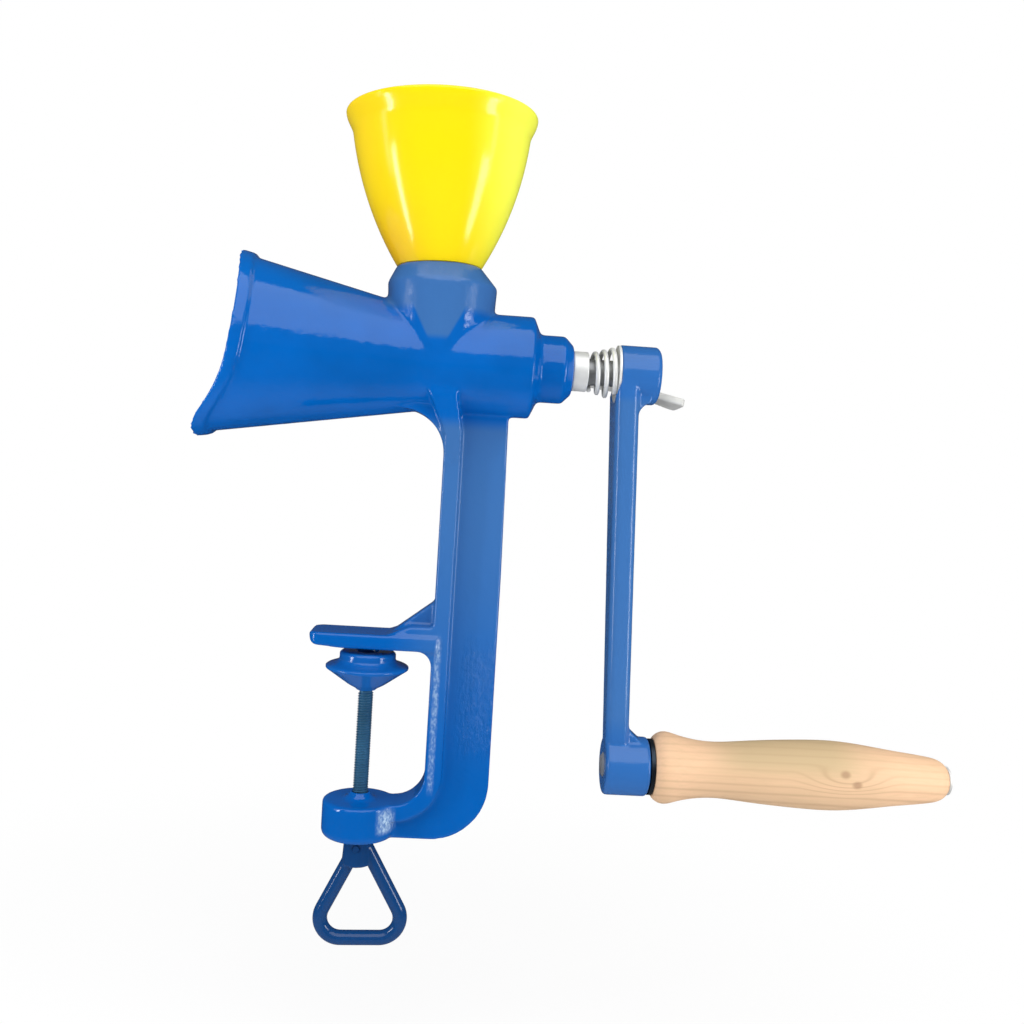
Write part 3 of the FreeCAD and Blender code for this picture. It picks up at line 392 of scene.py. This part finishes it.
def iron(name, grey, shine, depth, bare=0.9):
    """Bare or plated metal. `bare` is how much of it mirrors, and the rest is a dull plating."""
    metal = Finish(name)
    grain = metal.noise(900.0, 4.0, 0.6)
    stain = metal.noise(60.0, 3.0, 0.5)
    colour = metal.mix(stain.above(0.3, 0.75), grey, tuple(c * STAIN_SHADE for c in grey))
    return metal.surface(Base_Color=colour, Metallic=bare, Roughness=shine + 0.2 * grain,
                         Normal=metal.bump(grain, depth))


bare_iron = iron("bare_iron", (0.23, 0.23, 0.23), 0.38, 0.12 * MM)
dark_steel = iron("dark_steel", (0.055, 0.075, 0.1), 0.3, 0.03 * MM)
zinc_steel = iron("zinc_steel", (0.62, 0.64, 0.63), 0.22, 0.02 * MM)
for name in ("burr_stator", "burr_rotor", "feed_auger"):
    paint(nodes[name], bare_iron)
# The washer between the crank's boss and the handle is dark steel, and its dark ring also stands in for
# the shadow in the gap there, as painted shade.
for name in ("stator_pin", "rotor_key", "auger_pin", "handle_washer"):
    paint(nodes[name], dark_steel)
for name in ("rotor_washer", "rotor_nut"):
    paint(nodes[name], zinc_steel)


# ------------------------------------------------------------------ shaft, bush and spring
# The shaft is plain turned steel. The bush's collar, the conical spring and the washer under the
# hub are dull bright zinc, and so is the washer at the handle's end.
shaft_steel = iron("shaft_steel", (0.4, 0.41, 0.42), 0.3, 0.02 * MM, 0.7)
spindle_steel = iron("spindle_steel", (0.34, 0.36, 0.4), 0.35, 0.03 * MM, 0.5)
bright_zinc = iron("bright_zinc", (0.9, 0.91, 0.9), 0.28, 0.02 * MM, 0.3)
paint(nodes["main_shaft"], shaft_steel)
paint(nodes["handle_spindle"], spindle_steel)
for name in ("shaft_bush", "spring_washer", "handle_end_washer"):
    paint(nodes[name], bright_zinc)

behaviour = frame["record"]["behaviour"]
float_travel = next(j["range_m"][1] for j in behaviour["joints"] if j["name"] == "shaft_float")
spring_start, spring_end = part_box("pressure_spring")
spring = copy_of("pressure_spring")
smooth_faces(spring)
paint(spring, bright_zinc)
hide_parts("pressure_spring")
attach(spring, "frame")
1 - float_travel / (spring_end[0] - spring_start[0])
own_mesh(spring)


# ------------------------------------------------------------------ crank arm
# The crank is a second iron casting in the same enamel: a hub, a flat bar with rounded edges and
# a boss that holds the handle's spindle.
ARM_VOXEL = 0.6 * MM
BAR_HEIGHTS = ((-0.03, -0.02), (0.098, 0.102))


def crank_share(across, height):
    """Painted light: paler blue all over, and palest along the bar between its two bosses."""
    return 0.62 + 0.38 * height.within(*BAR_HEIGHTS)


arm = cast_skin("crank_arm", ARM_VOXEL)
paint(arm, enamel("blue_enamel_crank", crank_share))
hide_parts("crank_arm")
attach(arm, "crank")


# ------------------------------------------------------------------ winged set screw
# A small galvanised casting with two flat ears, screwed into the hub from behind.
WING_VOXEL = 0.4 * MM
wing = cast_skin("wing_screw", WING_VOXEL)
paint(wing, iron("wing_zinc", (0.84, 0.84, 0.81), 0.5, 0.08 * MM, 0.3))
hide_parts("wing_screw")
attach(wing, "wing_screw")


# ------------------------------------------------------------------ handle
# The grip is turned from a pale softwood with its grain along the crank pin, sanded and lightly
# varnished. A small split knot shows in its side, and the grain bends round it.
PEACH, TAN, OLIVE, BARK = (0.77, 0.50, 0.31), (0.63, 0.43, 0.26), (0.50, 0.38, 0.21), (0.27, 0.14, 0.07)
KNOT, KNOT_REACH = Vector((0.187, -0.0125, -0.0405)), (0.0, 0.012)
KNOT_SPOTS = (Vector((0.1858, -0.0125, -0.0380)), Vector((0.1906, -0.013, -0.0418)))
SPOT_EDGE = (0.0006, 0.002)
RING_RATE, RING_SHARPNESS = 2100.0, 5.0
TAN_SPAN = ((0.122, 0.145), (0.195, 0.212))
# These heights place painted shade on the grip's top and on its underside.
OLIVE_SPAN, OLIVE_HEIGHT = ((0.13, 0.15), (0.18, 0.2)), (-0.043, -0.034)
UNDERSIDE = (-0.046, -0.04)
WOOD_RELIEF = 0.06 * MM


def pale_wood():
    wood = Finish("pale_wood")
    place = wood.place()

    def away_from(point, flatten):
        """The distance from a point, measured in a squashed or stretched space."""
        offset = wood.add("VectorMath", {"operation": "SUBTRACT"}, (place, point))
        flat = wood.add("VectorMath", {"operation": "MULTIPLY"}, (offset, flatten))
        return wood.add("VectorMath", {"operation": "LENGTH"}, (flat,), "Value")

    across, depth, height = wood.axes(place)
    swirl = 1 - away_from(KNOT, (0.5, 1.0, 1.6)).above(*KNOT_REACH)
    sway = wood.noise(14.0, 2.0, 0.5, place, (0.3, 1.0, 1.0))
    rings = height + depth * 0.3 + sway * 0.012 + swirl * 0.007
    line = ((rings * RING_RATE).maths("SINE") * 0.5 + 0.5) ** RING_SHARPNESS
    fibre = wood.noise(1100.0, 4.0, 0.6, place, (0.03, 1.0, 1.0))
    patch = wood.noise(38.0, 3.0, 0.5, place, (0.35, 1.0, 1.0))
    # Painted shade: the top of the grip is drawn olive, and the grain lines darker towards the underside.
    shaded_top = height.above(*OLIVE_HEIGHT) * across.within(*OLIVE_SPAN)
    shaded_underside = 1 - height.above(*UNDERSIDE)
    colour = wood.mix(across.within(*TAN_SPAN) * 0.55 + patch.above(0.4, 0.75) * 0.45, PEACH, TAN)
    colour = wood.mix(shaded_top * 0.8, colour, OLIVE)
    colour = wood.mix(line * (0.12 + 0.22 * swirl + 0.12 * shaded_underside), colour, BARK)
    colour = wood.mix(fibre.above(0.35, 0.75) * 0.22, colour, OLIVE)
    for spot in KNOT_SPOTS:
        dot = 1 - away_from(spot, (0.7, 0.4, 1.0)).above(*SPOT_EDGE)
        colour = wood.mix(dot * 0.55, colour, BARK)
    return wood.surface(Base_Color=colour, Roughness=0.5 + 0.15 * fibre, Specular_IOR_Level=0.35,
                        Normal=wood.bump(line * 0.3 + fibre * 0.7, WOOD_RELIEF))


paint(nodes["handle"], pale_wood())


# ------------------------------------------------------------------ clamp screw
# A blackened steel screw with a rolled thread of 1 mm pitch. Its turned head sits in the pad, and
# its plain foot is pinned in the loop's hub.
THREAD_PITCH, THREAD_CREST, THREAD_ROOT = 1.0 * MM, 2.95 * MM, 2.45 * MM
CREST_LAND, STEPS_PER_TURN = 0.12 * MM, 20
RIDGE_SUNK, RIDGE_GAP = 0.1 * MM, 0.03 * MM
SCREW_PIVOT, SCREW_HEAD, HEAD_BEVEL, HEAD_HEIGHT = 2.2 * MM, 3.5 * MM, 1.2 * MM, 1.6 * MM
PLAIN_FOOT, FOOT_TAPER = 0.99 * THREAD_CREST, 0.5 * MM
PIVOT_BELOW_PAD, THREAD_RUNOUT, CORE_STEPS = 0.3 * MM, 0.8 * MM, 40
screw_low, screw_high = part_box("clamp_screw")
pad_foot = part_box("clamp_pad")[0][2] - PIVOT_BELOW_PAD
hub_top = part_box("clamp_loop")[1][2]


def chain(shell, points, closed=False):
    """A line of edges through (radius, height) points, in the plane of X and Z."""
    verts = [shell.verts.new((radius, 0, height)) for radius, height in points]
    following = verts[1:] + verts[:1] if closed else verts[1:]
    return verts + [shell.edges.new(pair) for pair in zip(verts, following)]


screw_shell = bmesh.new()
core = chain(screw_shell, (
    (0, screw_high[2]), (SCREW_HEAD - HEAD_BEVEL, screw_high[2]),
    (SCREW_HEAD, screw_high[2] - HEAD_BEVEL), (SCREW_HEAD, screw_high[2] - HEAD_HEIGHT),
    (SCREW_PIVOT, screw_high[2] - HEAD_HEIGHT), (SCREW_PIVOT, pad_foot), (THREAD_ROOT, pad_foot),
    (THREAD_ROOT, hub_top), (PLAIN_FOOT, hub_top - FOOT_TAPER), (PLAIN_FOOT, screw_low[2]),
    (0, screw_low[2])))
bmesh.ops.spin(screw_shell, geom=core, cent=(0, 0, 0), axis=(0, 0, 1), angle=math.tau,
               steps=CORE_STEPS, use_merge=True)
bmesh.ops.remove_doubles(screw_shell, verts=screw_shell.verts, dist=1e-7)
thread_top = pad_foot - THREAD_RUNOUT
turns = int((thread_top - hub_top) / THREAD_PITCH)
foot, half = THREAD_ROOT - RIDGE_SUNK, THREAD_PITCH / 2 - RIDGE_GAP
ridge = chain(screw_shell, (
    (foot, thread_top + half), (THREAD_CREST, thread_top + CREST_LAND / 2),
    (THREAD_CREST, thread_top - CREST_LAND / 2), (foot, thread_top - half)), True)
bmesh.ops.spin(screw_shell, geom=ridge, cent=(0, 0, 0), axis=(0, 0, 1), angle=-math.tau * turns,
               steps=turns * STEPS_PER_TURN, dvec=(0, 0, -THREAD_PITCH / STEPS_PER_TURN))
bmesh.ops.holes_fill(screw_shell, edges=[e for e in screw_shell.edges if e.is_boundary], sides=4)
bmesh.ops.recalc_face_normals(screw_shell, faces=screw_shell.faces)
screw = bpy.data.objects.new("clamp_screw_threaded", bpy.data.meshes.new("clamp_screw_threaded"))
bpy.context.scene.collection.objects.link(screw)
screw_shell.to_mesh(screw.data)
screw_shell.free()
paint(screw, iron("screw_steel", (0.05, 0.18, 0.33), 0.3, 0.02 * MM, 0.45))
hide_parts("clamp_screw")
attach(screw, "clamp_screw")


# ------------------------------------------------------------------ clamp pad and loop
# The swivel pad and the closed loop are small castings, dipped in the same blue enamel. The loop
# is dipped with its cross pin already in place.
PAD_VOXEL, LOOP_VOXEL = 0.35 * MM, 0.45 * MM
# Painted light makes the pad's enamel a little paler, and the loop's enamel is paler and much darker, as
# painted shade.
PAD_PALENESS, LOOP_PALENESS, LOOP_SHADE_TINT = 0.12, 0.3, 0.42
pad_enamel = enamel("blue_enamel_pad", lambda across, height: PAD_PALENESS)
loop_enamel = enamel("blue_enamel_loop", lambda across, height: LOOP_PALENESS, LOOP_SHADE_TINT)
for name, voxel, coat, carrier in (("clamp_pad", PAD_VOXEL, pad_enamel, "pad"),
                                   ("clamp_loop", LOOP_VOXEL, loop_enamel, "clamp_screw")):
    piece = cast_skin(name, voxel)
    paint(piece, coat)
    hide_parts(name)
    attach(piece, carrier)
paint(nodes["loop_pin"], loop_enamel)


# ------------------------------------------------------------------ hopper
# An injection-moulded cup of bright yellow plastic, slightly see-through where it is thin. It is
# pushed into the neck's socket and lifts out for cleaning.
ORANGE, AMBER = (0.90, 0.44, 0.02), (0.92, 0.64, 0.015)
YELLOW, LEMON = (0.94, 0.69, 0.003), (0.95, 1.0, 0.09)
# Where the hopper's painted light and painted shade change.
YELLOW_SIDE, LEMON_SIDE = (-0.018, 0.012), (0.026, 0.046)
ORANGE_TOP, ORANGE_SIDE = (0.142, 0.172), (-0.004, 0.02)
PLASTIC_RELIEF = 0.15 * MM


def yellow_plastic():
    plastic = Finish("yellow_plastic")
    place = plastic.place()
    across, _, height = plastic.axes(place)
    ripple = plastic.noise(45.0, 2.0, 0.4, place)
    # Painted light and shade: a darker amber on the left and orange low on the left as painted shade, and
    # a paler lemon on the right as painted light shining through.
    shaded_low_left = (1 - height.above(*ORANGE_TOP)) * (1 - across.above(*ORANGE_SIDE))
    colour = plastic.mix(across.above(*YELLOW_SIDE), AMBER, YELLOW)
    colour = plastic.mix(across.above(*LEMON_SIDE), colour, LEMON)
    colour = plastic.mix(shaded_low_left * 0.8, colour, ORANGE)
    # The faint emission is a painted glow that stands in for light shining through the plastic.
    return plastic.surface(Base_Color=colour, Roughness=0.15, Subsurface_Weight=0.35,
                           Subsurface_Radius=(0.006, 0.0045, 0.0012), Subsurface_Scale=1.0,
                           Emission_Color=colour, Emission_Strength=0.1,
                           Normal=plastic.bump(ripple, PLASTIC_RELIEF))


paint(nodes["hopper"], yellow_plastic())
